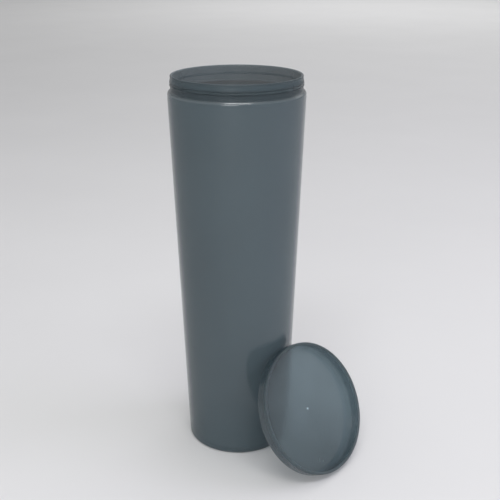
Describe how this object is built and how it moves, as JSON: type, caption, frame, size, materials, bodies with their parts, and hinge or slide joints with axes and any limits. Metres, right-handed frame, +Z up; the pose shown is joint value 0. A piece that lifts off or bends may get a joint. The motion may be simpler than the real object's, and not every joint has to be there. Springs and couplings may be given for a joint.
{
  "type": "tumbler barrel with snap lid",
  "caption": "Tall tapered plastic tumbling barrel, open at the neck, with a seal ring and a shallow snap lid that leans against its side.",
  "frame": {"origin": "centre of the barrel's flat base, on the surface it stands on", "axes": "+Z up along the barrel's axis, +X towards the side on which the lid leans"},
  "size_m": [0.182, 0.1235, 0.349],
  "materials": {
    "barrel_plastic": "semi-gloss moulded slate grey, a little see-through",
    "seal_rubber": "smooth slate-grey rubber, a little see-through",
    "lid_plastic": "satin moulded slate grey, see-through"
  },
  "bodies": {
    "barrel": {"barrel_shell": "barrel_plastic", "neck_seal": "seal_rubber"},
    "lid": {"lid": "lid_plastic"}
  },
  "joints": [
    {"name": "lid_lift_away", "type": "slide", "parent": "barrel", "child": "lid", "axis": [0.8607, 0, 0.509], "range_m": [0, 0.12]}
  ]
}
